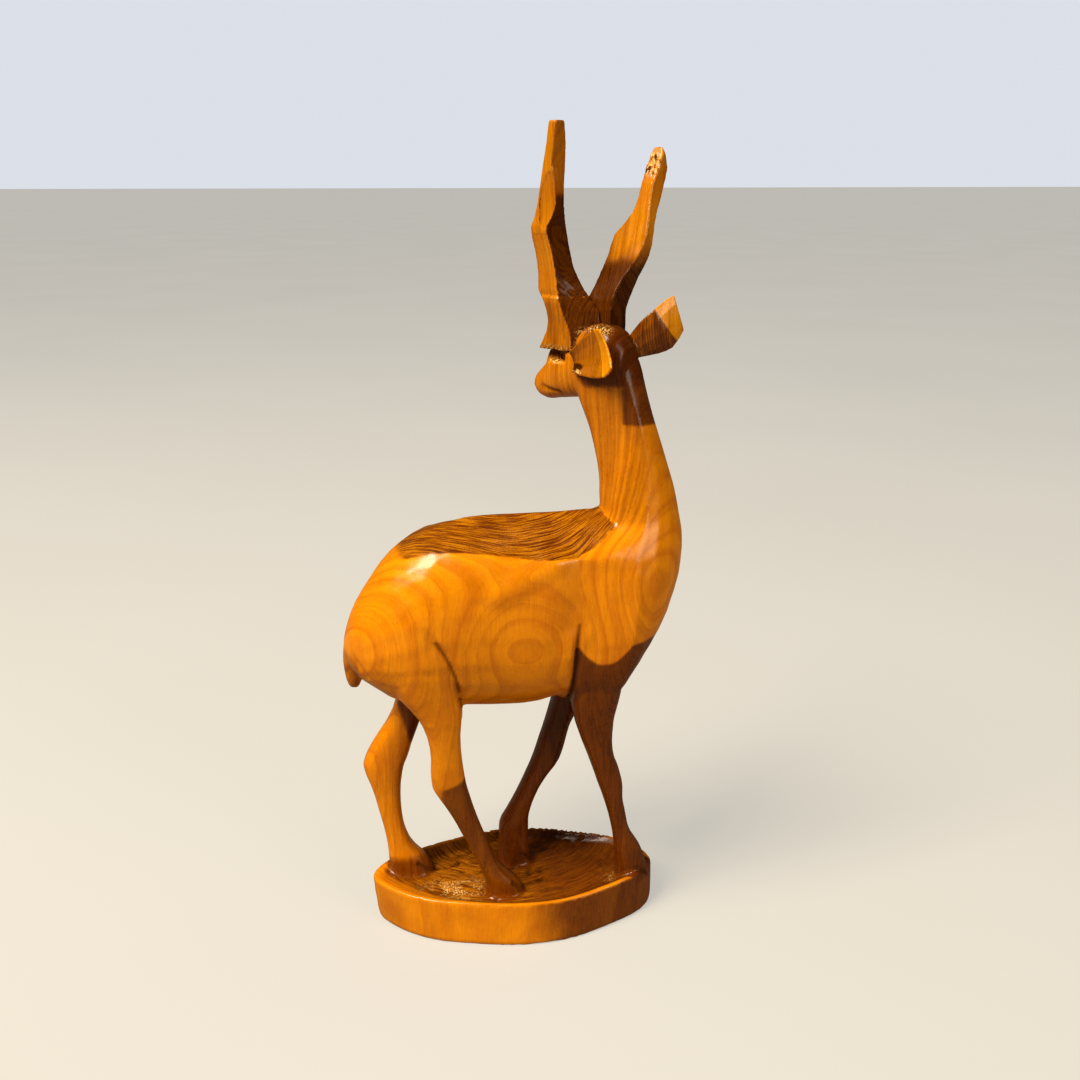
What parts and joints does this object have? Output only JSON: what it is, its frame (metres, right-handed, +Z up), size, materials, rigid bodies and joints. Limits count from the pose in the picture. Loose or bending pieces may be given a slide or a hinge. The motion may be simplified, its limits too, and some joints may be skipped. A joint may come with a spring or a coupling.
{
  "type": "carved antelope statue",
  "caption": "Carved wooden antelope on a sunk irregular base, its head turned back; tall stepped horns and scooped ears are separate pieces set into the block.",
  "frame": {"origin": "on the table, under the middle of the base", "axes": "+Z up, +X from the rump to the chest, +Y towards the animal's left side"},
  "size_m": [0.1398, 0.0596, 0.33],
  "materials": {
    "block_wood": "varnished, orange-brown sapwood over dark brown heartwood",
    "horn_wood": "varnished, streaked along the horn, dark on the rear faces",
    "ear_wood": "varnished, lighter at the cut end"
  },
  "bodies": {
    "root": {"carved_body": "block_wood", "horn_left": "horn_wood", "horn_right": "horn_wood", "ear_left": "ear_wood", "ear_right": "ear_wood"}
  },
  "joints": []
}
